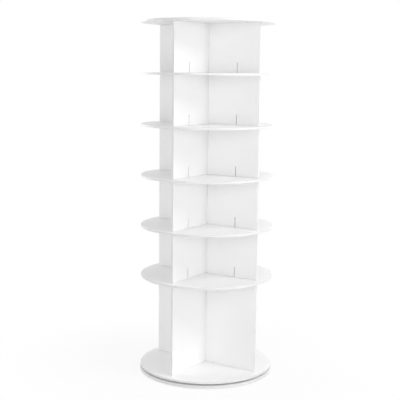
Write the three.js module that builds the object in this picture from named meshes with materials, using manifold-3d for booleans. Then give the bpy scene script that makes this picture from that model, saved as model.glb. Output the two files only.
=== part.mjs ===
// Rotating shoe tower: round shelves held apart by half-lapped cross dividers,
// turning on a ball bearing above a fixed base disc.
// Millimetres, +Z up. The origin is on the floor at the turning axis, and the dividers run along X and Y.
import * as THREE from "three";
import { mergeVertices } from "three/addons/utils/BufferGeometryUtils.js";
import Module from "manifold-3d";

const wasm = await Module();
wasm.setup();

// Boards
const shelfDiameter = 600;
const shelfThickness = 9;
const dividerThickness = 9;
const baseOverhang = 3; // how far the base disc stands out past the shelves
const baseThickness = 12;

// Tiers, measured from the top face of one shelf to the top face of the next
const tierPitch = 228;
const bootTierPitch = 418;
const upperTierCount = 5;

// Dividers
const dividerInset = 32; // from the shelf's rim to the end of an arm
const slitRadius = 154; // from the turning axis to the middle of a slit
const slitWidth = 3;
const slitHeight = 47;

// Dowels through the middle shelves
const dowelDiameter = 5;
const dowelDepth = 15; // how far a dowel reaches into each divider
const dowelInset = 58; // from the end of an arm
const dowelChamfer = 0.6;

// Recesses for the cover caps in the top panel
const capDiameter = 12;
const capDepth = 1.2;

// Turntable bearing
const bearingGap = 8; // between the base disc and the bottom shelf
const pitchRadius = 132; // from the turning axis to the centres of the balls
const ballDiameter = 4.8;
const ballCount = 10;
const ringSlot = 2.4; // the radial slot between the two rings
const ringWidth = 16.8;
const ringThickness = 7;
const ringChamfer = 0.5;
const ringScrewCount = 4;
const ringScrewDiameter = 4;
const ringScrewHead = 8;
const cageThickness = 1.2;
const cageHeight = 6.8;

// Foot pads
const padDiameter = 40;
const padHeight = 2.7;
const padChamfer = 0.6;
const padInset = 38; // from the rim of the base disc to the middle of a pad
const padCount = 6;

// Fits
const seatGap = 0.3; // between pieces that rest on or are glued to each other
const lapClearance = 0.3; // each side of a board in its half-lap slot
const dowelClearance = 0.3;
const ballClearance = 0.3;
const overrun = 1; // how far a cutting body stands out past the face it enters

// Facets
const discSides = 96;
const ringSides = 60;
const capSides = 16;
const padSides = 16;
const dowelSides = 8;
const pocketSides = 10;
const grooveSteps = 4;
const slitEndSteps = 2;
const ballColumns = 10;
const ballRows = 7;

// Worked out from the sizes above
const shelfRadius = shelfDiameter / 2;
const baseRadius = shelfRadius + baseOverhang;
const armLength = shelfRadius - dividerInset;
const dowelRadius = armLength - dowelInset;
const baseBottom = padHeight + seatGap;
const baseTop = baseBottom + baseThickness;
const ballPlane = baseTop + bearingGap / 2;
const bottomShelfTop = baseTop + bearingGap + shelfThickness;

// One entry for each shelf from the bottom up, with the height of its top face.
const shelfLevels = [bottomShelfTop];
for (let i = 0; i <= upperTierCount; i += 1) {
  shelfLevels.push(bottomShelfTop + bootTierPitch + i * tierPitch);
}

const whiteBoard = () => new THREE.MeshStandardMaterial({ color: 0xf4f4f3, roughness: 0.45, metalness: 0 });
const beech = () => new THREE.MeshStandardMaterial({ color: 0xd9b98a, roughness: 0.7, metalness: 0 });
const aluminium = () => new THREE.MeshStandardMaterial({ color: 0xc9cbcd, roughness: 0.35, metalness: 1 });
const steel = () => new THREE.MeshStandardMaterial({ color: 0xb8babd, roughness: 0.15, metalness: 1 });
const nylon = () => new THREE.MeshStandardMaterial({ color: 0xe6e4dc, roughness: 0.5, metalness: 0 });
const foam = () => new THREE.MeshStandardMaterial({ color: 0x3a3a3a, roughness: 0.9, metalness: 0 });

// A closed geometry as a solid that can be cut.
function solidFrom(geometry) {
  const bare = geometry.clone();
  bare.deleteAttribute("normal");
  bare.deleteAttribute("uv");
  const merged = mergeVertices(bare);
  return new wasm.Manifold(
    new wasm.Mesh({
      numProp: 3,
      vertProperties: merged.attributes.position.array,
      triVerts: new Uint32Array(merged.index.array),
    }),
  );
}

function geometryFrom(solid) {
  const { vertProperties, triVerts } = solid.getMesh();
  const geometry = new THREE.BufferGeometry();
  geometry.setAttribute("position", new THREE.BufferAttribute(vertProperties, 3));
  geometry.setIndex(new THREE.BufferAttribute(triVerts, 1));
  geometry.computeVertexNormals();
  return geometry;
}

function cut(geometry, tools) {
  return geometryFrom(tools.reduce((solid, tool) => solid.subtract(solidFrom(tool)), solidFrom(geometry)));
}

// Evenly spaced points round a circle, the first one on +X.
function circlePoints(radius, sides, centre = new THREE.Vector2()) {
  return Array.from({ length: sides }, (_, i) => {
    const turn = (2 * Math.PI * i) / sides;
    return new THREE.Vector2(Math.cos(turn), Math.sin(turn)).multiplyScalar(radius).add(centre);
  });
}

// A round body on +Z. The profile is a list of [radius, height].
function revolve(profile, sides) {
  const points = profile.map(([radius, height]) => new THREE.Vector2(radius, height));
  return new THREE.LatheGeometry(points, sides).rotateX(Math.PI / 2);
}

// An upright round body on +Z with both ends chamfered.
function chamferedPin(radius, length, chamfer, sides) {
  const shoulder = radius - chamfer;
  const profile = [
    [0, 0],
    [shoulder, 0],
    [radius, chamfer],
    [radius, length - chamfer],
    [shoulder, length],
    [0, length],
  ];
  return revolve(profile, sides);
}

// A round flat board between two heights, with round holes through it.
function disc(radius, bottom, top, holes = []) {
  const shape = new THREE.Shape(circlePoints(radius, discSides));
  shape.holes = holes.map((points) => new THREE.Path(points));
  const board = new THREE.ExtrudeGeometry(shape, { depth: top - bottom, bevelEnabled: false });
  return board.translate(0, 0, bottom);
}

// The four arms of the cross, named as seen by someone who faces +Y.
const arms = [
  { name: "right", direction: new THREE.Vector2(1, 0) },
  { name: "back", direction: new THREE.Vector2(0, 1) },
  { name: "left", direction: new THREE.Vector2(-1, 0) },
  { name: "front", direction: new THREE.Vector2(0, -1) },
];

const onArm = (arm, distance) => arm.direction.clone().multiplyScalar(distance);

function middleShelf(top) {
  const holeRadius = dowelDiameter / 2 + dowelClearance;
  const holes = arms.map((arm) => circlePoints(holeRadius, dowelSides, onArm(arm, dowelRadius)));
  return disc(shelfRadius, top - shelfThickness, top, holes);
}

function bottomShelf() {
  return disc(shelfRadius, bottomShelfTop - shelfThickness, bottomShelfTop);
}

// The top panel has a shallow round recess over each arm, which takes a cover cap.
function topPanel(top) {
  const radius = capDiameter / 2;
  const recesses = arms.map((arm) => {
    const place = onArm(arm, dowelRadius);
    const recess = new THREE.CylinderGeometry(radius, radius, capDepth + overrun, capSides);
    return recess.rotateX(Math.PI / 2).translate(place.x, place.y, top - (capDepth - overrun) / 2);
  });
  return cut(disc(shelfRadius, top - shelfThickness, top), recesses);
}

// A square notch in the edge of a board's outline, on the way from left to right or back.
function addLapNotch(shape, edge, depth, heading) {
  const half = dividerThickness / 2 + lapClearance;
  shape.lineTo(-half * heading, edge);
  shape.lineTo(-half * heading, edge + depth);
  shape.lineTo(half * heading, edge + depth);
  shape.lineTo(half * heading, edge);
}

// A slit up from the lower edge, with the round end that a router bit leaves.
function addSlit(shape, centre) {
  const half = slitWidth / 2;
  const endCentre = slitHeight - half;
  shape.lineTo(centre - half, 0);
  for (let i = 0; i <= 2 * slitEndSteps; i += 1) {
    const turn = Math.PI * (1 - i / (2 * slitEndSteps));
    shape.lineTo(centre + half * Math.cos(turn), endCentre + half * Math.sin(turn));
  }
  shape.lineTo(centre + half, 0);
}

// A divider's outline, with its half-lap slot open at the top or at the foot.
function dividerShape(height, lapOpensUp, hasSlits) {
  const lapDepth = (height + lapClearance) / 2;
  const shape = new THREE.Shape();
  shape.moveTo(-armLength, 0);
  if (hasSlits) addSlit(shape, -slitRadius);
  if (!lapOpensUp) addLapNotch(shape, 0, lapDepth, 1);
  if (hasSlits) addSlit(shape, slitRadius);
  shape.lineTo(armLength, 0);
  shape.lineTo(armLength, height);
  if (lapOpensUp) addLapNotch(shape, height, -lapDepth, -1);
  shape.lineTo(-armLength, height);
  return shape;
}

// Blind holes for the dowels in the edge at the given height, going up or down into the board.
function dowelHoles(edge, heading) {
  const radius = dowelDiameter / 2 + dowelClearance;
  const depth = dowelDepth + dowelClearance;
  return [-dowelRadius, dowelRadius].map((x) => {
    const hole = new THREE.CylinderGeometry(radius, radius, depth + overrun, dowelSides);
    return hole.rotateX(Math.PI / 2).translate(x, 0, edge + (heading * (depth - overrun)) / 2);
  });
}

// A divider board along X between two shelf faces, standing with a gap at its foot and head.
function divider({ low, high, lapOpensUp, hasSlits, dowelsBelow, dowelsAbove }) {
  const height = high - low - 2 * seatGap;
  const outline = dividerShape(height, lapOpensUp, hasSlits);
  const board = new THREE.ExtrudeGeometry(outline, { depth: dividerThickness, bevelEnabled: false });
  board.translate(0, 0, -dividerThickness / 2).rotateX(Math.PI / 2);
  const holes = [];
  if (dowelsBelow) holes.push(...dowelHoles(0, 1));
  if (dowelsAbove) holes.push(...dowelHoles(height, -1));
  return cut(board, holes).translate(0, 0, low + seatGap);
}

function dowel(shelfTop) {
  const length = shelfThickness + 2 * (seatGap + dowelDepth);
  const pin = chamferedPin(dowelDiameter / 2, length, dowelChamfer, dowelSides);
  return pin.translate(0, 0, shelfTop - shelfThickness - seatGap - dowelDepth);
}

// The side of a ring that faces the balls: a wall with a round groove, from low to high.
function racewayWall(side, low, high) {
  const wall = pitchRadius + (side * ringSlot) / 2;
  const grooveRadius = ballDiameter / 2 + ballClearance;
  const reach = Math.acos(ringSlot / 2 / grooveRadius);
  const points = [[wall, low]];
  for (let i = 0; i <= grooveSteps; i += 1) {
    const turn = reach * ((2 * i) / grooveSteps - 1);
    points.push([
      pitchRadius + side * grooveRadius * Math.cos(turn),
      ballPlane + grooveRadius * Math.sin(turn),
    ]);
  }
  points.push([wall, high]);
  return points;
}

// Screw holes through a ring, countersunk from the face at headFace.
function ringScrewHoles(circle, headFace, heading) {
  const shank = ringScrewDiameter / 2;
  const head = ringScrewHead / 2;
  const depth = ringThickness + overrun;
  const profile = [
    [0, -overrun],
    [head, -overrun],
    [head, 0],
    [shank, head - shank],
    [shank, depth],
    [0, depth],
  ];
  return Array.from({ length: ringScrewCount }, (_, i) => {
    const hole = revolve(profile, dowelSides);
    if (heading < 0) hole.rotateX(Math.PI);
    const turn = (2 * Math.PI * (i + 1 / 2)) / ringScrewCount;
    return hole.translate(circle * Math.cos(turn), circle * Math.sin(turn), headFace);
  });
}

// The inner ring is screwed down on the base disc and carries the balls on its outer wall.
function innerRing() {
  const low = baseTop + seatGap;
  const high = low + ringThickness;
  const bore = pitchRadius - ringSlot / 2 - ringWidth;
  const profile = [
    ...racewayWall(-1, low, high),
    [bore + ringChamfer, high],
    [bore, high - ringChamfer],
    [bore, low],
    [pitchRadius - ringSlot / 2, low],
  ];
  const ring = revolve(profile, ringSides);
  return cut(ring, ringScrewHoles(bore + ringWidth / 2, high, -1));
}

// The outer ring hangs under the bottom shelf and runs round the balls.
function outerRing() {
  const high = baseTop + bearingGap - seatGap;
  const low = high - ringThickness;
  const rim = pitchRadius + ringSlot / 2 + ringWidth;
  const profile = [
    ...racewayWall(1, low, high).reverse(),
    [rim - ringChamfer, low],
    [rim, low + ringChamfer],
    [rim, high],
    [pitchRadius + ringSlot / 2, high],
  ];
  const ring = revolve(profile, ringSides);
  return cut(ring, ringScrewHoles(rim - ringWidth / 2, low, 1));
}

const ballAngle = (i) => (2 * Math.PI * i) / ballCount;

// The cage is a thin upright hoop with a round pocket for each ball.
function ballCage() {
  const inside = pitchRadius - cageThickness / 2;
  const outside = pitchRadius + cageThickness / 2;
  const low = ballPlane - cageHeight / 2;
  const high = ballPlane + cageHeight / 2;
  const section = [
    [inside, low],
    [outside, low],
    [outside, high],
    [inside, high],
    [inside, low],
  ];
  const hoop = revolve(section, ringSides);
  const pocketRadius = ballDiameter / 2 + ballClearance;
  const pocketLength = cageThickness + 2 * overrun;
  const pockets = Array.from({ length: ballCount }, (_, i) => {
    const pocket = new THREE.CylinderGeometry(pocketRadius, pocketRadius, pocketLength, pocketSides);
    return pocket.rotateZ(Math.PI / 2).translate(pitchRadius, 0, ballPlane).rotateZ(ballAngle(i));
  });
  return cut(hoop, pockets);
}

function ball(i) {
  const sphere = new THREE.SphereGeometry(ballDiameter / 2, ballColumns, ballRows);
  return sphere.translate(pitchRadius, 0, ballPlane).rotateZ(ballAngle(i));
}

function footPad(i) {
  const radius = padDiameter / 2;
  const profile = [
    [0, 0],
    [radius - padChamfer, 0],
    [radius, padChamfer],
    [radius, padHeight],
    [0, padHeight],
  ];
  const turn = (2 * Math.PI * i) / padCount;
  return revolve(profile, padSides).translate(baseRadius - padInset, 0, 0).rotateZ(turn);
}

const tower = new THREE.Group();

function add(name, geometry, material) {
  const mesh = new THREE.Mesh(geometry, material);
  mesh.name = name;
  tower.add(mesh);
}

function addBase() {
  add("base_disc", disc(baseRadius, baseBottom, baseTop), whiteBoard());
  for (let i = 0; i < padCount; i += 1) add(`foot_pad_${i + 1}`, footPad(i), foam());
}

function addBearing() {
  add("bearing_inner_ring", innerRing(), aluminium());
  add("bearing_outer_ring", outerRing(), aluminium());
  add("ball_cage", ballCage(), nylon());
  for (let i = 0; i < ballCount; i += 1) add(`ball_${i + 1}`, ball(i), steel());
}

function addShelves() {
  const last = shelfLevels.length - 1;
  add("bottom_shelf", bottomShelf(), whiteBoard());
  for (let i = 1; i < last; i += 1) add(`shelf_${i + 1}`, middleShelf(shelfLevels[i]), whiteBoard());
  add("top_panel", topPanel(shelfLevels[last]), whiteBoard());
}

// Two boards for each tier: one along X with its slot open upwards, one along Y that drops over it.
function addDividers() {
  for (let i = 0; i + 1 < shelfLevels.length; i += 1) {
    const tier = {
      low: shelfLevels[i],
      high: shelfLevels[i + 1] - shelfThickness,
      hasSlits: i > 0,
      dowelsBelow: i > 0,
      dowelsAbove: i + 2 < shelfLevels.length,
    };
    const across = divider({ ...tier, lapOpensUp: true });
    const along = divider({ ...tier, lapOpensUp: false }).rotateZ(Math.PI / 2);
    add(`divider_${i + 1}_left_right`, across, whiteBoard());
    add(`divider_${i + 1}_front_back`, along, whiteBoard());
  }
}

function addDowels() {
  for (let i = 1; i + 1 < shelfLevels.length; i += 1) {
    arms.forEach((arm) => {
      const place = onArm(arm, dowelRadius);
      add(`dowel_${i + 1}_${arm.name}`, dowel(shelfLevels[i]).translate(place.x, place.y, 0), beech());
    });
  }
}

addBase();
addBearing();
addShelves();
addDividers();
addDowels();

export default tower;
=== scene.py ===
"""Looks of a rotating shoe tower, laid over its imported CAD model.

Round white shelves are held apart by half-lapped cross dividers. They turn as one on a ball bearing above
a fixed base disc that stands on six foot pads. The CAD solids stay as they are: modifiers round their edges,
and each gets the finish of the real part. Screws and cover caps are added, and then the camera, the lamps
and the floor. Metres, +Z up, with the turning axis on Z and the divider boards along X and Y.
"""

import logging
import math
from abc import ABC, abstractmethod
from collections.abc import Callable
from dataclasses import dataclass, field
from enum import Enum

import bmesh
import bpy
from mathutils import Matrix, Vector


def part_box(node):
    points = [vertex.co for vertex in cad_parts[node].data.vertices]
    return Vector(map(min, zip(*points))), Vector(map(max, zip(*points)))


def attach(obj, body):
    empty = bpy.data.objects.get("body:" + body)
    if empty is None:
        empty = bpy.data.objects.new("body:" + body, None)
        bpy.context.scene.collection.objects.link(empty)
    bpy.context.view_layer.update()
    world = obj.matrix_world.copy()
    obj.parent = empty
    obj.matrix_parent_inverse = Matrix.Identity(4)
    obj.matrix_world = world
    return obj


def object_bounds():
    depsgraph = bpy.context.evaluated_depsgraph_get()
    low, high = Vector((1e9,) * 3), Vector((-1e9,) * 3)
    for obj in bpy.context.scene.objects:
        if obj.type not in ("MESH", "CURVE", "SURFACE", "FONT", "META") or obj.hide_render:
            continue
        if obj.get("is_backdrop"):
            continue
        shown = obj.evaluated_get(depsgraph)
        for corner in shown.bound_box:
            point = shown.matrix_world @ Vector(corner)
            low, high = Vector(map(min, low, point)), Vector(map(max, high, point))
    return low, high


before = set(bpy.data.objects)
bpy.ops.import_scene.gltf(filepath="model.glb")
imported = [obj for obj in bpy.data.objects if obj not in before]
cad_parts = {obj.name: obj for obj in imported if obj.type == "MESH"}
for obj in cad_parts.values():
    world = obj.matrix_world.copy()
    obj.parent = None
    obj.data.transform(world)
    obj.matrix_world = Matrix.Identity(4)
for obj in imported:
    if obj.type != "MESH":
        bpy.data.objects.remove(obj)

Tree = bpy.types.NodeTree
Socket = bpy.types.NodeSocket

LOG = logging.getLogger("shoe_tower")
MM = 0.001
SAME_POINT_MM = 0.005  # points nearer to each other than this are one point
ARMS = 4  # of each divider cross
WHITE = "#ffffff"
NOISE_SPAN = {"From Min": 0.3, "From Max": 0.7}  # where nearly all values of a noise texture lie
WAVE_RADIANS = 20  # how far a wave texture of scale 1 turns in a metre

# Numbers of a Mix node's sockets, because colours and values share their names.
FACTOR, COLOUR_A, COLOUR_B, MIXED_COLOUR = 0, 6, 7, 2
VALUE_A, VALUE_B, MIXED_VALUE = 2, 3, 0


class Body(Enum):
    """The bodies that the added pieces ride on."""

    BASE = "base"
    TOWER = "tower"


class Slot(Enum):
    """The record's material slots that the added pieces are kept with; their finish is given apart from them.
    """

    STEEL = "steel_ball"
    PLASTIC = "nylon_cage"


class Facing(Enum):
    """Which way the head of a screw or cap looks."""

    UP = 1
    DOWN = -1


class BandRun(Enum):
    """How the edge band of a board runs."""

    ROUND_RIM = "round_rim"
    STRAIGHT_ENDS = "straight_ends"


def linear(hex_colour: str) -> tuple[float, float, float, float]:
    """Turn an sRGB hex colour into the linear colour that a shader socket takes.

    Args:
        hex_colour: The colour as "#rrggbb".

    Returns:
        Red, green, blue and an alpha of one.
    """
    channels = []
    for start in (1, 3, 5):
        value = int(hex_colour[start:start + 2], 16) / 255
        channels.append(value / 12.92 if value <= 0.04045 else ((value + 0.055) / 1.055) ** 2.4)
    return (*channels, 1.0)


def per_metre(size_mm: float) -> float:
    """The texture scale that gives a pattern the stated size in millimetres."""
    return 1 / (size_mm * MM)


def add_node(tree: Tree, kind: str, inputs: dict | None = None, **settings: object) -> bpy.types.Node:
    """Add a node, set its own settings, and then set or link its inputs.

    Args:
        tree: The node tree that gets the node.
        kind: The node's type name.
        inputs: For the name or number of an input, a value or the output socket that feeds it.
        settings: The node's own settings by name.

    Returns:
        The new node.
    """
    node = tree.nodes.new(kind)
    for name, value in settings.items():
        setattr(node, name, value)
    for key, value in (inputs or {}).items():
        if isinstance(value, Socket):
            tree.links.new(value, node.inputs[key])
        else:
            node.inputs[key].default_value = value
    return node


def picture_ray(tree: Tree) -> Socket:
    """Tell the rays that draw the picture from those that only carry light.

    Args:
        tree: The node tree of the floor or of the world.

    Returns:
        One for the camera's rays and for mirrored and refracted ones, and zero for the rest.
    """
    path = add_node(tree, "ShaderNodeLightPath")
    mirrored = add_node(tree, "ShaderNodeMath", {
        0: path.outputs["Is Glossy Ray"], 1: path.outputs["Is Transmission Ray"]}, operation="MAXIMUM")
    return add_node(tree, "ShaderNodeMath", {
        0: path.outputs["Is Camera Ray"], 1: mirrored.outputs[0]}, operation="MAXIMUM").outputs[0]


def smooth_skin(name: str, reshape: Callable[[Tree, Socket], Socket] | None = None) -> Tree:
    """Give the node group that joins split corners, reshapes the mesh and turns smooth shading on.

    Args:
        name: The group's name.
        reshape: Takes the group and the joined mesh, and gives the reshaped one. Without it the shape stays.

    Returns:
        The geometry node group, made on the first call.
    """
    made = bpy.data.node_groups.get(name)
    if made:
        return made
    group = bpy.data.node_groups.new(name, "GeometryNodeTree")
    for way in ("INPUT", "OUTPUT"):
        group.interface.new_socket("Geometry", in_out=way, socket_type="NodeSocketGeometry")
    start = add_node(group, "NodeGroupInput")
    bare = add_node(group, "GeometryNodeRemoveAttribute", {
        "Geometry": start.outputs["Geometry"], "Name": "custom_normal"})
    mesh = add_node(group, "GeometryNodeMergeByDistance", {
        "Geometry": bare.outputs["Geometry"], "Distance": SAME_POINT_MM * MM}).outputs["Geometry"]
    if reshape:
        mesh = reshape(group, mesh)
    smooth = add_node(group, "GeometryNodeSetShadeSmooth", {"Geometry": mesh})
    add_node(group, "NodeGroupOutput", {"Geometry": smooth.outputs["Geometry"]})
    return group


@dataclass(frozen=True)
class Finish(ABC):
    """A real material with its surface treatment."""

    name: str

    def make(self) -> bpy.types.Material:
        """Make the material, or give the one that was made before.

        Returns:
            The material of this finish.
        """
        made = bpy.data.materials.get(self.name)
        if made:
            return made
        material = bpy.data.materials.new(self.name)
        material.use_nodes = True
        material.node_tree.nodes.clear()
        shader = self.surface(material.node_tree)
        add_node(material.node_tree, "ShaderNodeOutputMaterial", {"Surface": shader})
        return material

    @abstractmethod
    def surface(self, tree: Tree) -> Socket:
        """Lay out the nodes of the surface.

        Args:
            tree: The material's empty node tree.

        Returns:
            The shader output that makes the surface.
        """

    def dress(self, piece: bpy.types.Object) -> None:
        """Give the piece this finish in place of any other.

        Args:
            piece: A mesh object.
        """
        material = self.make()
        if not piece.material_slots:
            piece.data.materials.append(material)
        for material_slot in piece.material_slots:
            material_slot.material = material


@dataclass(frozen=True)
class MelamineBoard(Finish):
    """Fibreboard faced with white melamine paper between satin press plates, with a glued edge band.

    The eye gets an even near-white with a soft sheen, a faint pearl in the gloss, and a slightly glossier
    edge that a hairline seam parts from the face. The edge band is a shade darker than the face, which is
    painted shade of the rims and board ends. The walls sawn into a straight board, its slits among them, are
    a dull grey, which is painted shade in the slits.
    """

    band: BandRun
    reach_mm: float  # from the turning axis to the outer face of the band
    colour: str = "#f9f9f9"
    shade: str = "#f5f5f5"
    # darker than the face: painted shade of the rims and board ends
    shaded_band_colour: str = "#e6e6e6"
    seam_colour: str = "#d9d9d9"
    # painted shade on the walls of the slits and lap slots, which are white like the faces
    slit_shade_colour: str = "#dddcd9"
    ior: float = 1.5
    roughness: float = 0.40
    roughness_spread: float = 0.04
    band_roughness: float = 0.30
    sawn_roughness: float = 0.80
    pearl_mm: float = 2.4  # the real pearl is about 0.6 mm, too fine to show
    pearl_relief_mm: float = 0.04
    mottle_mm: float = 140
    band_thickness_mm: float = 0.8
    seam_mm: float = 0.25
    sawn_sine: float = 0.5  # a wall is sawn if its normal's angle to the board's run has a smaller sine

    def surface(self, tree: Tree) -> Socket:
        """Lay out the paper, the pearl, the edge band and its seam.

        Args:
            tree: The material's empty node tree.

        Returns:
            The shader output that makes the surface.
        """
        where = add_node(tree, "ShaderNodeTexCoord")
        place = where.outputs["Object"]
        pearl = add_node(tree, "ShaderNodeTexNoise", {
            "Vector": place, "Scale": per_metre(self.pearl_mm), "Detail": 3.0, "Roughness": 0.6})
        mottle = add_node(tree, "ShaderNodeTexNoise", {
            "Vector": place, "Scale": per_metre(self.mottle_mm), "Detail": 2.0, "Roughness": 0.5})
        from_seam = self._distance_from_seam(tree, place)
        on_band = add_node(tree, "ShaderNodeMath", {0: from_seam, 1: 0.0}, operation="GREATER_THAN")
        seam_gap = add_node(tree, "ShaderNodeMath", {0: from_seam}, operation="ABSOLUTE")
        seam = add_node(tree, "ShaderNodeMapRange", {
            "Value": seam_gap.outputs[0], "From Min": 0.0, "From Max": self.seam_mm * MM,
            "To Min": 1.0, "To Max": 0.0}, interpolation_type="SMOOTHSTEP")
        paper = add_node(tree, "ShaderNodeMix", {
            FACTOR: mottle.outputs["Fac"], COLOUR_A: linear(self.shade),
            COLOUR_B: linear(self.colour)}, data_type="RGBA")
        satin = add_node(tree, "ShaderNodeMapRange", {
            "Value": pearl.outputs["Fac"], **NOISE_SPAN,
            "To Min": self.roughness - self.roughness_spread,
            "To Max": self.roughness + self.roughness_spread})
        board, sheen = paper.outputs[MIXED_COLOUR], satin.outputs["Result"]
        if self.band is BandRun.STRAIGHT_ENDS:
            sawn = self._on_sawn_wall(tree, place, where.outputs["Normal"])
            # the sawn walls get the grey of the painted slit shade
            board = add_node(tree, "ShaderNodeMix", {
                FACTOR: sawn, COLOUR_A: board,
                COLOUR_B: linear(self.slit_shade_colour)}, data_type="RGBA").outputs[MIXED_COLOUR]
            sheen = add_node(tree, "ShaderNodeMix", {
                FACTOR: sawn, VALUE_A: sheen,
                VALUE_B: self.sawn_roughness}, data_type="FLOAT").outputs[MIXED_VALUE]
        # the band gets its darker colour, painted shade of the rims and board ends
        banded = add_node(tree, "ShaderNodeMix", {
            FACTOR: on_band.outputs[0], COLOUR_A: board,
            COLOUR_B: linear(self.shaded_band_colour)}, data_type="RGBA")
        colour = add_node(tree, "ShaderNodeMix", {
            FACTOR: seam.outputs["Result"], COLOUR_A: banded.outputs[MIXED_COLOUR],
            COLOUR_B: linear(self.seam_colour)}, data_type="RGBA")
        gloss = add_node(tree, "ShaderNodeMix", {
            FACTOR: on_band.outputs[0], VALUE_A: sheen,
            VALUE_B: self.band_roughness}, data_type="FLOAT")
        relief = add_node(tree, "ShaderNodeBump", {
            "Strength": 0.25, "Distance": self.pearl_relief_mm * MM, "Height": pearl.outputs["Fac"]})
        return add_node(tree, "ShaderNodeBsdfPrincipled", {
            "Base Color": colour.outputs[MIXED_COLOUR], "Roughness": gloss.outputs[MIXED_VALUE],
            "IOR": self.ior, "Normal": relief.outputs["Normal"]}).outputs["BSDF"]

    def _distance_from_seam(self, tree: Tree, place: Socket) -> Socket:
        """Measure how far a point lies outside the seam between face and edge band.

        Args:
            tree: The material's node tree.
            place: The object coordinates.

        Returns:
            The distance in metres, above zero on the band.
        """
        flat = add_node(tree, "ShaderNodeVectorMath", {0: place, 1: (1.0, 1.0, 0.0)}, operation="MULTIPLY")
        if self.band is BandRun.ROUND_RIM:
            out = add_node(tree, "ShaderNodeVectorMath", {
                0: flat.outputs[0]}, operation="LENGTH").outputs["Value"]
        else:
            size = add_node(tree, "ShaderNodeVectorMath", {0: flat.outputs[0]}, operation="ABSOLUTE")
            parts = add_node(tree, "ShaderNodeSeparateXYZ", {0: size.outputs[0]})
            out = add_node(tree, "ShaderNodeMath", {
                0: parts.outputs["X"], 1: parts.outputs["Y"]}, operation="MAXIMUM").outputs[0]
        seam_at = (self.reach_mm - self.band_thickness_mm) * MM
        return add_node(tree, "ShaderNodeMath", {0: out, 1: seam_at}, operation="SUBTRACT").outputs[0]

    def _on_sawn_wall(self, tree: Tree, place: Socket, normal: Socket) -> Socket:
        """Find the walls that don't look across a straight board's thickness.

        Args:
            tree: The material's node tree.
            place: The object coordinates.
            normal: The surface normal in the same space.

        Returns:
            One on such a wall and zero on the board's faces.
        """
        flat = add_node(tree, "ShaderNodeVectorMath", {0: place, 1: (1.0, 1.0, 0.0)}, operation="MULTIPLY")
        along = add_node(tree, "ShaderNodeVectorMath", {0: flat.outputs[0]}, operation="NORMALIZE")
        across = add_node(tree, "ShaderNodeVectorMath", {
            0: along.outputs[0], 1: normal}, operation="CROSS_PRODUCT")
        parts = add_node(tree, "ShaderNodeSeparateXYZ", {0: across.outputs[0]})
        sine = add_node(tree, "ShaderNodeMath", {0: parts.outputs["Z"]}, operation="ABSOLUTE")
        return add_node(tree, "ShaderNodeMath", {
            0: sine.outputs[0], 1: self.sawn_sine}, operation="LESS_THAN").outputs[0]


@dataclass(frozen=True)
class TurnedAluminium(Finish):
    """Die-cast aluminium with turned faces.

    The eye gets a grey metal with fine rings round the axis that stretch the highlights.
    """

    colour: str = "#c9cbcd"
    shade: str = "#b4b6b9"
    roughness: float = 0.32
    polished_by: float = 0.06
    dulled_by: float = 0.08
    feed_mm: float = 1.6  # the real tool marks lie about 0.15 mm apart, too fine to show
    mark_depth_mm: float = 0.03
    cast_grain_mm: float = 5

    def surface(self, tree: Tree) -> Socket:
        """Lay out the tool marks and the grain of the casting.

        Args:
            tree: The material's empty node tree.

        Returns:
            The shader output that makes the surface.
        """
        place = add_node(tree, "ShaderNodeTexCoord").outputs["Object"]
        marks = add_node(tree, "ShaderNodeTexWave", {
            "Vector": place, "Scale": per_metre(self.feed_mm) * math.tau / WAVE_RADIANS,
            "Distortion": 0.4, "Detail": 1.0},
            wave_type="RINGS", rings_direction="Z", wave_profile="TRI")
        grain = add_node(tree, "ShaderNodeTexNoise", {
            "Vector": place, "Scale": per_metre(self.cast_grain_mm), "Detail": 4.0})
        colour = add_node(tree, "ShaderNodeMix", {
            FACTOR: grain.outputs["Fac"], COLOUR_A: linear(self.shade),
            COLOUR_B: linear(self.colour)}, data_type="RGBA")
        polish = add_node(tree, "ShaderNodeMapRange", {
            "Value": grain.outputs["Fac"], **NOISE_SPAN,
            "To Min": self.roughness - self.polished_by, "To Max": self.roughness + self.dulled_by})
        relief = add_node(tree, "ShaderNodeBump", {
            "Strength": 0.3, "Distance": self.mark_depth_mm * MM, "Height": marks.outputs["Fac"]})
        return add_node(tree, "ShaderNodeBsdfPrincipled", {
            "Base Color": colour.outputs[MIXED_COLOUR], "Metallic": 1.0,
            "Roughness": polish.outputs["Result"], "Normal": relief.outputs["Normal"]}).outputs["BSDF"]


@dataclass(frozen=True)
class Steel(Finish):
    """Steel with a set colour and polish, such as lapped bearing balls or zinc-plated screws.

    The eye gets a bright metal with faint clouds in its polish.
    """

    colour: str
    shade: str
    roughness: float
    cloud_mm: float
    smoothest: float = 0.8  # as a share of the roughness
    roughest: float = 1.3  # as a share of the roughness
    relief_mm: float = 0.01

    def surface(self, tree: Tree) -> Socket:
        """Lay out the clouds in the polish.

        Args:
            tree: The material's empty node tree.

        Returns:
            The shader output that makes the surface.
        """
        place = add_node(tree, "ShaderNodeTexCoord").outputs["Object"]
        cloud = add_node(tree, "ShaderNodeTexNoise", {
            "Vector": place, "Scale": per_metre(self.cloud_mm), "Detail": 3.0})
        colour = add_node(tree, "ShaderNodeMix", {
            FACTOR: cloud.outputs["Fac"], COLOUR_A: linear(self.shade),
            COLOUR_B: linear(self.colour)}, data_type="RGBA")
        polish = add_node(tree, "ShaderNodeMapRange", {
            "Value": cloud.outputs["Fac"], **NOISE_SPAN,
            "To Min": self.roughness * self.smoothest, "To Max": self.roughness * self.roughest})
        relief = add_node(tree, "ShaderNodeBump", {
            "Strength": 0.1, "Distance": self.relief_mm * MM, "Height": cloud.outputs["Fac"]})
        return add_node(tree, "ShaderNodeBsdfPrincipled", {
            "Base Color": colour.outputs[MIXED_COLOUR], "Metallic": 1.0,
            "Roughness": polish.outputs["Result"], "Normal": relief.outputs["Normal"]}).outputs["BSDF"]


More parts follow.
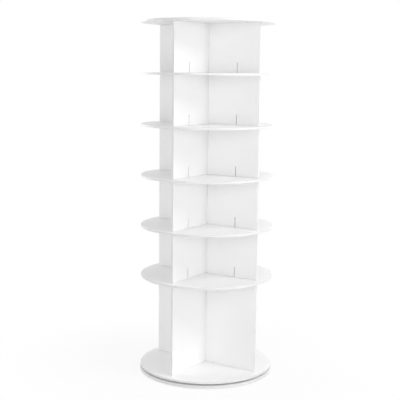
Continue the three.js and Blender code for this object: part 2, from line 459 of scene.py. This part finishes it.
@dataclass(frozen=True)
class MouldedPlastic(Finish):
    """Injection-moulded plastic from a lightly sparked mould.

    The eye gets an even colour with a fine grain that softens the gloss.
    """

    colour: str
    shade: str
    roughness: float
    ior: float
    spark_mm: float
    relief_mm: float
    roughness_spread: float = 0.05

    def surface(self, tree: Tree) -> Socket:
        """Lay out the sparked grain and the flow of the colour.

        Args:
            tree: The material's empty node tree.

        Returns:
            The shader output that makes the surface.
        """
        place = add_node(tree, "ShaderNodeTexCoord").outputs["Object"]
        spark = add_node(tree, "ShaderNodeTexNoise", {
            "Vector": place, "Scale": per_metre(self.spark_mm), "Detail": 4.0, "Roughness": 0.7})
        colour = add_node(tree, "ShaderNodeMix", {
            FACTOR: spark.outputs["Fac"], COLOUR_A: linear(self.shade),
            COLOUR_B: linear(self.colour)}, data_type="RGBA")
        gloss = add_node(tree, "ShaderNodeMapRange", {
            "Value": spark.outputs["Fac"], **NOISE_SPAN,
            "To Min": self.roughness - self.roughness_spread,
            "To Max": self.roughness + self.roughness_spread})
        relief = add_node(tree, "ShaderNodeBump", {
            "Strength": 0.3, "Distance": self.relief_mm * MM, "Height": spark.outputs["Fac"]})
        return add_node(tree, "ShaderNodeBsdfPrincipled", {
            "Base Color": colour.outputs[MIXED_COLOUR], "Roughness": gloss.outputs["Result"],
            "IOR": self.ior, "Normal": relief.outputs["Normal"]}).outputs["BSDF"]


@dataclass(frozen=True)
class FoamRubber(Finish):
    """Closed-cell foam rubber cut from sheet.

    The eye gets a matt dark grey, pitted with the cut cells, darker towards each pit's middle as painted
    shade.
    """

    colour: str = "#3f3f40"
    # painted shade at the floor of each pit
    pit_shade_colour: str = "#2a2a2b"
    ior: float = 1.5
    roughness: float = 0.9
    cell_mm: float = 1.2  # the real cells are about 0.4 mm, too fine to show
    pit_depth_mm: float = 0.2
    pit_floor: float = 0.1  # how far its floor reaches from a cell's middle, in cells
    pit_rim: float = 0.6  # how far from a cell's middle its wall is highest, in cells

    def surface(self, tree: Tree) -> Socket:
        """Lay out the cut cells.

        Args:
            tree: The material's empty node tree.

        Returns:
            The shader output that makes the surface.
        """
        place = add_node(tree, "ShaderNodeTexCoord").outputs["Object"]
        cells = add_node(tree, "ShaderNodeTexVoronoi", {"Vector": place, "Scale": per_metre(self.cell_mm)})
        pit = add_node(tree, "ShaderNodeMapRange", {
            "Value": cells.outputs["Distance"], "From Min": self.pit_floor, "From Max": self.pit_rim})
        # the pits' floors get the darker painted shade colour
        colour = add_node(tree, "ShaderNodeMix", {
            FACTOR: pit.outputs["Result"], COLOUR_A: linear(self.pit_shade_colour),
            COLOUR_B: linear(self.colour)}, data_type="RGBA")
        relief = add_node(tree, "ShaderNodeBump", {
            "Strength": 0.6, "Distance": self.pit_depth_mm * MM, "Height": pit.outputs["Result"]})
        return add_node(tree, "ShaderNodeBsdfPrincipled", {
            "Base Color": colour.outputs[MIXED_COLOUR], "Roughness": self.roughness,
            "IOR": self.ior, "Normal": relief.outputs["Normal"]}).outputs["BSDF"]


@dataclass(frozen=True)
class TurnedBeech(Finish):
    """Beech dowel, turned and left bare.

    The eye gets a warm pale wood with fibres along the pin and short dark flecks.
    """

    colour: str = "#dcbd90"
    fleck_colour: str = "#b98f5f"
    ior: float = 1.5
    roughness: float = 0.62
    fibre_mm: float = 0.6
    fibre_length: float = 12  # how many times longer than wide a fleck is
    fleck_from: float = 0.55  # the noise at which a fleck begins
    fleck_full: float = 0.75  # the noise at which it is darkest
    relief_mm: float = 0.05

    def surface(self, tree: Tree) -> Socket:
        """Lay out the fibres and flecks along Z.

        Args:
            tree: The material's empty node tree.

        Returns:
            The shader output that makes the surface.
        """
        place = add_node(tree, "ShaderNodeTexCoord").outputs["Object"]
        drawn = add_node(tree, "ShaderNodeMapping", {
            "Vector": place, "Scale": (1.0, 1.0, 1 / self.fibre_length)})
        fibre = add_node(tree, "ShaderNodeTexNoise", {
            "Vector": drawn.outputs["Vector"], "Scale": per_metre(self.fibre_mm), "Detail": 3.0})
        fleck = add_node(tree, "ShaderNodeMapRange", {
            "Value": fibre.outputs["Fac"], "From Min": self.fleck_from, "From Max": self.fleck_full})
        colour = add_node(tree, "ShaderNodeMix", {
            FACTOR: fleck.outputs["Result"], COLOUR_A: linear(self.colour),
            COLOUR_B: linear(self.fleck_colour)}, data_type="RGBA")
        relief = add_node(tree, "ShaderNodeBump", {
            "Strength": 0.4, "Distance": self.relief_mm * MM, "Height": fibre.outputs["Fac"]})
        return add_node(tree, "ShaderNodeBsdfPrincipled", {
            "Base Color": colour.outputs[MIXED_COLOUR], "Roughness": self.roughness,
            "IOR": self.ior, "Normal": relief.outputs["Normal"]}).outputs["BSDF"]


@dataclass(frozen=True)
class StudioFloor(Finish):
    """Matt white floor paper that the camera sees as plain white, apart from the shadow near the object."""

    colour: str = "#f2f2f2"
    roughness: float = 0.5
    shadow_share: float = 0.14  # how much of the paper's own light the camera sees near the object
    near_mm: float = 380
    far_mm: float = 1100

    def surface(self, tree: Tree) -> Socket:
        """Lay out the paper, and the white that the camera and reflections see in its place.

        Args:
            tree: The material's empty node tree.

        Returns:
            The shader output that makes the surface.
        """
        place = add_node(tree, "ShaderNodeTexCoord").outputs["Object"]
        distance = add_node(tree, "ShaderNodeVectorMath", {0: place}, operation="LENGTH")
        white_share = add_node(tree, "ShaderNodeMapRange", {
            "Value": distance.outputs["Value"], "From Min": self.near_mm * MM, "From Max": self.far_mm * MM,
            "To Min": 1 - self.shadow_share, "To Max": 1.0}, interpolation_type="SMOOTHSTEP")
        share = add_node(tree, "ShaderNodeMath", {
            0: picture_ray(tree), 1: white_share.outputs["Result"]}, operation="MULTIPLY")
        paper = add_node(tree, "ShaderNodeBsdfDiffuse", {
            "Color": linear(self.colour), "Roughness": self.roughness})
        white = add_node(tree, "ShaderNodeEmission", {"Color": linear(WHITE), "Strength": 1.0})
        return add_node(tree, "ShaderNodeMixShader", {
            0: share.outputs[0], 1: paper.outputs[0], 2: white.outputs[0]}).outputs[0]


@dataclass(frozen=True)
class RoundedEdges:
    """Rounded edges over a CAD solid by modifiers, which leave its own mesh as it is. Angles in degrees."""

    width_mm: float
    segments: int = 3
    sharp_from: float = 32.0
    flat_within: float = 0.5

    def lay_over(self, piece: bpy.types.Object) -> None:
        """Add the modifiers to a piece.

        Args:
            piece: A CAD node's object.
        """
        skin = "joined_smooth_faces"
        piece.modifiers.new(skin, "NODES").node_group = smooth_skin(skin)
        flats = piece.modifiers.new("whole_flats", "DECIMATE")
        flats.decimate_type = "DISSOLVE"
        flats.angle_limit = math.radians(self.flat_within)
        rounding = piece.modifiers.new("rounded_edges", "BEVEL")
        rounding.width = self.width_mm * MM
        rounding.segments = self.segments
        rounding.limit_method = "ANGLE"
        rounding.angle_limit = math.radians(self.sharp_from)
        rounding.harden_normals = True


WHITE_SHELF = MelamineBoard("white_melamine_shelf_board", BandRun.ROUND_RIM, reach_mm=300)
WHITE_BASE = MelamineBoard("white_melamine_base_board", BandRun.ROUND_RIM, reach_mm=303)
WHITE_DIVIDER = MelamineBoard("white_melamine_divider_board", BandRun.STRAIGHT_ENDS, reach_mm=268)
ALUMINIUM = TurnedAluminium("die_cast_turned_aluminium")
BALL_STEEL = Steel("lapped_bearing_steel", "#c4c6c8", "#b2b4b6", roughness=0.10, cloud_mm=2.0)
SCREW_STEEL = Steel("zinc_plated_steel", "#cfd1d3", "#b9bcc0", roughness=0.30, cloud_mm=1.5)
CAGE_NYLON = MouldedPlastic(
    "moulded_natural_nylon", "#e8e6df", "#dedbd2", roughness=0.45, ior=1.53, spark_mm=1.0, relief_mm=0.03)
CAP_PLASTIC = MouldedPlastic(
    "moulded_white_polyethylene_cap", "#f3f3f2", "#ececeb", roughness=0.38, ior=1.52, spark_mm=0.8,
    relief_mm=0.02)
PAD_FOAM = FoamRubber("cut_foam_rubber")
DOWEL_BEECH = TurnedBeech("bare_turned_beech")
FLOOR_PAPER = StudioFloor("white_floor_paper")


def node_names(prefix: str) -> list[str]:
    """The names of the CAD nodes that begin with the prefix, in order."""
    return sorted(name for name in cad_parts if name.startswith(prefix))


def finish_node(name: str, finish: Finish, edges: RoundedEdges | None = None) -> None:
    """Give a CAD node its finish, and rounded edges where it needs them.

    Args:
        name: The node's name.
        finish: The finish that it gets.
        edges: The rounding of its edges.
    """
    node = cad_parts[name]
    finish.dress(node)
    if edges:
        edges.lay_over(node)
    LOG.info("finished %s in %s", name, finish.name)


def arm_circle() -> float:
    """How far from the turning axis dowels and screws stand in the divider arms, in metres."""
    low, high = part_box("dowel_2_right")
    return (low.x + high.x) / 2


def around(count: int, first: float, circle: float, height: float, facing: Facing) -> list[Matrix]:
    """Spots evenly round the turning axis.

    Args:
        count: How many spots there are.
        first: The angle of the first one in degrees.
        circle: Their distance from the axis in metres.
        height: Their height in metres.
        facing: Whether a piece there stands upright or head down.

    Returns:
        One matrix for each spot.
    """
    flip = Matrix.Rotation(0.0 if facing is Facing.UP else math.pi, 4, "X")
    spots = []
    for i in range(count):
        turn = Matrix.Rotation(math.radians(first) + math.tau * i / count, 4, "Z")
        spots.append(turn @ Matrix.Translation((circle, 0.0, height)) @ flip)
    return spots


def ring_pairs(ring: list[bmesh.types.BMVert]) -> list[tuple[bmesh.types.BMVert, bmesh.types.BMVert]]:
    """Each point of a closed ring with the one after it."""
    return list(zip(ring, ring[1:] + ring[:1]))


def bridge(mesh: bmesh.types.BMesh, upper: list[bmesh.types.BMVert], lower: list[bmesh.types.BMVert]) -> None:
    """Join two closed rings of as many points with faces."""
    for (above, next_above), (below, next_below) in zip(ring_pairs(upper), ring_pairs(lower)):
        mesh.faces.new((above, below, next_below, next_above))


def turned_skin(mesh: bmesh.types.BMesh, profile: list[tuple[float, float]],
                sides: int) -> list[list[bmesh.types.BMVert]]:
    """Turn a profile round Z into a skin that is open at both ends.

    Args:
        mesh: The mesh that gets the skin.
        profile: Radius and height of each point in millimetres, none of them on the axis.
        sides: How many steps the turn has.

    Returns:
        For each point of the profile, its ring of points.
    """
    turns = [math.tau * step / sides for step in range(sides)]
    rings = [[mesh.verts.new((radius * math.cos(turn) * MM, radius * math.sin(turn) * MM, height * MM))
              for turn in turns] for radius, height in profile]
    for upper, lower in zip(rings, rings[1:]):
        bridge(mesh, upper, lower)
    return rings


def close_ring(mesh: bmesh.types.BMesh, ring: list[bmesh.types.BMVert], height: float) -> None:
    """Close a ring with faces that meet in one point on the axis.

    Args:
        mesh: The mesh that the ring is in.
        ring: The ring's points.
        height: The height of the meeting point in millimetres.
    """
    tip = mesh.verts.new((0.0, 0.0, height * MM))
    for here, after in ring_pairs(ring):
        mesh.faces.new((here, tip, after))


@dataclass
class Piece:
    """A small mesh piece that is made once and placed in several spots."""

    name: str
    body: Body
    slot: Slot
    finish: Finish

    def place(self, shape: bmesh.types.BMesh, spots: list[Matrix]) -> None:
        """Put a copy of the shape at each spot.

        Args:
            shape: The mesh, which is freed afterwards.
            spots: The place and turn of each copy.
        """
        for face in shape.faces:
            face.smooth = True
        mesh = bpy.data.meshes.new(self.name)
        shape.to_mesh(mesh)
        shape.free()
        for number, spot in enumerate(spots, start=1):
            copy = bpy.data.objects.new(f"{self.name}_{number}", mesh)
            copy.matrix_world = spot
            bpy.context.scene.collection.objects.link(copy)
            self.finish.dress(copy)
            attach(copy, self.body.value)
            LOG.info("placed %s on %s", copy.name, self.body.value)


@dataclass
class Shelves:
    """The round boards: the fixed base disc, the bottom shelf, the middle shelves and the top panel."""

    edge_radius_mm: float = 1.0

    def build(self) -> None:
        """Finish the round boards."""
        edges = RoundedEdges(self.edge_radius_mm)
        finish_node("base_disc", WHITE_BASE, edges)
        for name in ("bottom_shelf", *node_names("shelf_"), "top_panel"):
            finish_node(name, WHITE_SHELF, edges)


@dataclass
class Dividers:
    """The half-lapped cross boards and the dowels that run through the shelves between them."""

    edge_radius_mm: float = 0.5
    dowel_edge_mm: float = 0.2
    dowel_sharp_from: float = 50.0  # degrees, more than a dowel's facets turn

    def build(self) -> None:
        """Finish the boards and the dowels."""
        for name in node_names("divider_"):
            finish_node(name, WHITE_DIVIDER, RoundedEdges(self.edge_radius_mm))
        for name in node_names("dowel_"):
            finish_node(name, DOWEL_BEECH, RoundedEdges(self.dowel_edge_mm, sharp_from=self.dowel_sharp_from))


@dataclass
class FootPads:
    """The non-slip pads under the base disc."""

    edge_radius_mm: float = 0.3

    def build(self) -> None:
        """Finish the pads."""
        for name in node_names("foot_pad_"):
            finish_node(name, PAD_FOAM, RoundedEdges(self.edge_radius_mm))


@dataclass
class CountersunkScrew:
    """A countersunk screw with a cross recess, modelled with its head at the origin and its tip down."""

    head_mm: float = 7.6
    rim_mm: float = 0.15
    shank_mm: float = 3.8
    length_mm: float = 12
    recess_reach_mm: float = 2.1
    recess_half_width_mm: float = 0.45
    recess_depth_mm: float = 1.0
    recess_taper: float = 0.7  # the size of the recess at its floor, as a share of its mouth
    wings: int = 4
    sides: int = 24

    def shape(self) -> bmesh.types.BMesh:
        """Make the screw.

        Returns:
            The closed mesh, in metres.
        """
        head, shank = self.head_mm / 2, self.shank_mm / 2
        cone = head - shank
        profile = [(head, 0.0), (head, -self.rim_mm), (shank, -cone), (shank, shank - self.length_mm)]
        mesh = bmesh.new()
        rings = turned_skin(mesh, profile, self.sides)
        close_ring(mesh, rings[-1], -self.length_mm)
        self._fill_head(mesh, rings[0])
        bmesh.ops.recalc_face_normals(mesh, faces=mesh.faces)
        return mesh

    def _fill_head(self, mesh: bmesh.types.BMesh, rim: list[bmesh.types.BMVert]) -> None:
        """Close the head round its cross recess.

        Args:
            mesh: The screw's mesh.
            rim: The ring of points round the head's face.
        """
        far, near = self.recess_reach_mm, self.recess_half_width_mm
        depth, taper = self.recess_depth_mm, self.recess_taper
        wing_corners = [(far, -near), (far, near), (near, near)]
        mouth, floor = [], []
        for wing in range(self.wings):
            turn = Matrix.Rotation(math.tau * wing / self.wings, 3, "Z")
            for x, y in wing_corners:
                mouth.append(mesh.verts.new(turn @ Vector((x, y, 0.0)) * MM))
                floor.append(mesh.verts.new(turn @ Vector((x * taper, y * taper, -depth)) * MM))
        loop = [mesh.edges.new(pair) for pair in ring_pairs(mouth)]
        rim_edges = [mesh.edges.get(pair) for pair in ring_pairs(rim)]
        bmesh.ops.triangle_fill(mesh, use_beauty=True, edges=[*loop, *rim_edges])
        bridge(mesh, mouth, floor)
        mesh.faces.new(floor)


@dataclass
class CoverCap:
    """A pressed-in plastic cap with a crowned face, modelled with its seat at the origin."""

    diameter_mm: float = 11.7
    height_mm: float = 1.1
    crown_mm: float = 0.45
    steps: int = 6
    sides: int = 40

    def shape(self) -> bmesh.types.BMesh:
        """Make the cap.

        Returns:
            The closed mesh, in metres.
        """
        radius = self.diameter_mm / 2
        profile = [(radius, 0.0)]
        for step in range(self.steps):
            turn = math.pi / 2 * step / self.steps
            profile.append((radius * math.cos(turn), self.height_mm - self.crown_mm * (1 - math.sin(turn))))
        mesh = bmesh.new()
        rings = turned_skin(mesh, profile, self.sides)
        close_ring(mesh, rings[0], 0.0)
        close_ring(mesh, rings[-1], self.height_mm)
        bmesh.ops.recalc_face_normals(mesh, faces=mesh.faces)
        return mesh


@dataclass
class TopPanelCaps:
    """The caps that hide the panel screws, one over each divider arm."""

    recess_depth_mm: float = 1.2
    cap: CoverCap = field(default_factory=CoverCap)

    def build(self) -> None:
        """Press a cap into each recess of the top panel."""
        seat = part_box("top_panel")[1].z - self.recess_depth_mm * MM
        spots = around(ARMS, 0.0, arm_circle(), seat, Facing.UP)
        Piece("panel_cap", Body.TOWER, Slot.PLASTIC, CAP_PLASTIC).place(self.cap.shape(), spots)


@dataclass
class ShelfScrews:
    """The screws that hold the lowest cross to the bottom shelf, one under each arm."""

    proud_mm: float = 0.1
    screw: CountersunkScrew = field(default_factory=lambda: CountersunkScrew(length_mm=20))

    def build(self) -> None:
        """Drive a screw up through the bottom shelf into each arm."""
        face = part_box("bottom_shelf")[0].z - self.proud_mm * MM
        spots = around(ARMS, 0.0, arm_circle(), face, Facing.DOWN)
        Piece("shelf_screw", Body.TOWER, Slot.STEEL, SCREW_STEEL).place(self.screw.shape(), spots)


@dataclass
class Turntable:
    """The ball bearing: two rings, the balls between them in their cage, and the screws of both rings."""

    ring_width_mm: float = 16.8
    ring_edge_mm: float = 0.15
    ring_sharp_from: float = 40.0  # degrees, more than the facets of the ball groove turn
    cage_edge_mm: float = 0.2
    ball_diameter_mm: float = 4.8
    ball_fineness: int = 2  # how many times each facet of a ball is divided
    screws_in_ring: int = 4
    first_screw: float = 45.0  # degrees from +X
    sunk_mm: float = 0.15
    screw: CountersunkScrew = field(default_factory=CountersunkScrew)

    def build(self) -> None:
        """Finish the rings, the cage and the balls, and drive in the screws."""
        ring_edges = RoundedEdges(self.ring_edge_mm, sharp_from=self.ring_sharp_from)
        for name in ("bearing_inner_ring", "bearing_outer_ring"):
            finish_node(name, ALUMINIUM, ring_edges)
        finish_node("ball_cage", CAGE_NYLON, RoundedEdges(self.cage_edge_mm))
        skin = "lapped_round"
        for name in node_names("ball_"):
            if name != "ball_cage":
                finish_node(name, BALL_STEEL)
                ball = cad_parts[name]
                ball.modifiers.new(skin, "NODES").node_group = smooth_skin(skin, self._out_to_sphere)
        self._ring_screws("bearing_inner_ring", "inner_ring_screw", Body.BASE, Facing.UP)
        self._ring_screws("bearing_outer_ring", "outer_ring_screw", Body.TOWER, Facing.DOWN)

    def _ring_screws(self, ring: str, name: str, body: Body, facing: Facing) -> None:
        """Put a screw into each hole of a ring.

        Args:
            ring: The ring's node.
            name: The name that the screws get.
            body: The body that they ride on.
            facing: Which way their heads look.
        """
        low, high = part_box(ring)
        circle = high.x - self.ring_width_mm / 2 * MM
        face = high.z if facing is Facing.UP else low.z
        seat = face - facing.value * self.sunk_mm * MM
        spots = around(self.screws_in_ring, self.first_screw, circle, seat, facing)
        Piece(name, body, Slot.STEEL, SCREW_STEEL).place(self.screw.shape(), spots)

    def _out_to_sphere(self, group: Tree, ball: Socket) -> Socket:
        """Divide a faceted ball and move its points out to the sphere.

        Args:
            group: The geometry node group.
            ball: The faceted mesh.

        Returns:
            The round mesh.
        """
        place = add_node(group, "GeometryNodeInputPosition").outputs["Position"]
        centre = add_node(group, "GeometryNodeAttributeStatistic", {
            "Geometry": ball, "Attribute": place}, data_type="FLOAT_VECTOR").outputs["Mean"]
        finer = add_node(group, "GeometryNodeSubdivideMesh", {"Mesh": ball, "Level": self.ball_fineness})
        away = add_node(group, "ShaderNodeVectorMath", {0: place, 1: centre}, operation="SUBTRACT")
        unit = add_node(group, "ShaderNodeVectorMath", {0: away.outputs[0]}, operation="NORMALIZE")
        reach = add_node(group, "ShaderNodeVectorMath", {
            0: unit.outputs[0], "Scale": self.ball_diameter_mm / 2 * MM}, operation="SCALE")
        target = add_node(group, "ShaderNodeVectorMath", {0: reach.outputs[0], 1: centre}, operation="ADD")
        return add_node(group, "GeometryNodeSetPosition", {
            "Geometry": finer.outputs["Mesh"], "Position": target.outputs[0]}).outputs["Geometry"]


@dataclass
class PhotographCamera:
    """The camera that took the photograph, found by fitting the object's edges to it. Angles in degrees."""

    lens: float = 81.133
    sensor: float = 36.0
    rise: float = -0.035  # how far the picture's middle is above the lens axis, as a share of its width
    azimuth: float = 33.787
    pitch: float = 7.236
    yaw: float = -0.459
    roll: float = 0.562
    distance_mm: float = 4068.5
    height_mm: float = 1367.9

    def build(self) -> None:
        """Add the camera and make it the scene's."""
        data = bpy.data.cameras.new("photograph_camera")
        data.sensor_width = self.sensor
        data.lens = self.lens
        data.shift_y = self.rise
        camera = bpy.data.objects.new("photograph_camera", data)
        bpy.context.scene.collection.objects.link(camera)
        swing = Matrix.Rotation(math.radians(self.azimuth), 4, "Z")
        place = Matrix.Translation((0.0, -self.distance_mm * MM, self.height_mm * MM))
        turn = Matrix.Rotation(-math.radians(self.yaw), 4, "Z")
        tilt = Matrix.Rotation(math.radians(90 - self.pitch), 4, "X")
        lean = Matrix.Rotation(math.radians(self.roll), 4, "Z")
        camera.matrix_world = swing @ place @ turn @ tilt @ lean
        bpy.context.scene.camera = camera


@dataclass
class SoftLamp:
    """A large soft lamp that looks at the middle of the tower, its angles in degrees.

    Azimuth 0 is +X and 90 is +Y.
    """

    name: str
    azimuth: float
    elevation: float
    distance: float
    size: float
    watts: float

    def hang(self, aim: Vector) -> None:
        """Add the lamp.

        Args:
            aim: The point that it looks at.
        """
        data = bpy.data.lights.new(self.name, "AREA")
        data.shape = "DISK"
        data.size = self.size
        data.energy = self.watts
        lamp = bpy.data.objects.new(self.name, data)
        side, rise = math.radians(self.azimuth), math.radians(self.elevation)
        away = Vector((math.cos(side) * math.cos(rise), math.sin(side) * math.cos(rise), math.sin(rise)))
        lamp.location = aim + away * self.distance
        lamp.rotation_mode = "QUATERNION"
        lamp.rotation_quaternion = away.to_track_quat("Z", "Y")
        bpy.context.scene.collection.objects.link(lamp)


@dataclass
class Studio:
    """The floor, the lamps and the white room."""

    floor_size: float = 60.0
    room_light: float = 0.42  # how bright the room is as a light, where white is 1
    # azimuth, elevation, distance, size and watts of each lamp
    lamps: list[SoftLamp] = field(default_factory=lambda: [
        SoftLamp("key_right", 5.0, 3.0, 6.0, 2.0, 44.0),
        SoftLamp("key_front", -20.0, 12.0, 5.0, 2.5, 23.0),
        SoftLamp("high_right", 6.0, 40.0, 4.0, 2.0, 61.0),
        SoftLamp("fill_front", -75.0, 8.0, 4.0, 2.5, 35.0),
        SoftLamp("fill_left", 180.0, 15.0, 4.0, 4.0, 62.0),
        SoftLamp("fill_back", 95.0, 9.0, 4.0, 2.5, 30.0),
        SoftLamp("overhead", 0.0, 88.0, 4.0, 3.0, 20.0),
    ])

    def build(self) -> None:
        """Lay the floor, hang the lamps and light the room."""
        self._lay_floor()
        low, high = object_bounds()
        for lamp in self.lamps:
            lamp.hang((low + high) / 2)
        self._light_room()
        bpy.context.scene.view_settings.view_transform = "Standard"

    def _lay_floor(self) -> None:
        """Lay the floor paper under the pads."""
        mesh = bpy.data.meshes.new("floor")
        half = self.floor_size / 2
        sheet = [(-half, -half, 0.0), (half, -half, 0.0), (half, half, 0.0), (-half, half, 0.0)]
        mesh.from_pydata(sheet, [], [(0, 1, 2, 3)])
        floor = bpy.data.objects.new("floor", mesh)
        bpy.context.scene.collection.objects.link(floor)
        FLOOR_PAPER.dress(floor)
        floor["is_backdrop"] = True

    def _light_room(self) -> None:
        """Make the world an even grey light that the camera and reflections see as white."""
        world = bpy.data.worlds.new("white_room")
        world.use_nodes = True
        tree = world.node_tree
        tree.nodes.clear()
        light = add_node(tree, "ShaderNodeBackground", {"Color": linear(WHITE), "Strength": self.room_light})
        white = add_node(tree, "ShaderNodeBackground", {"Color": linear(WHITE), "Strength": 1.0})
        room = add_node(tree, "ShaderNodeMixShader", {
            0: picture_ray(tree), 1: light.outputs[0], 2: white.outputs[0]})
        add_node(tree, "ShaderNodeOutputWorld", {"Surface": room.outputs[0]})
        bpy.context.scene.world = world


def main() -> None:
    """Build the camera, the tower's parts and the studio."""
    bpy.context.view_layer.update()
    PhotographCamera().build()
    for part in (Shelves(), Dividers(), FootPads(), Turntable(), ShelfScrews(), TopPanelCaps()):
        part.build()
        LOG.info("built %s", type(part).__name__)
    Studio().build()


if __name__ == "__main__":
    logging.basicConfig(level=logging.INFO, format="%(name)s: %(message)s")
    main()
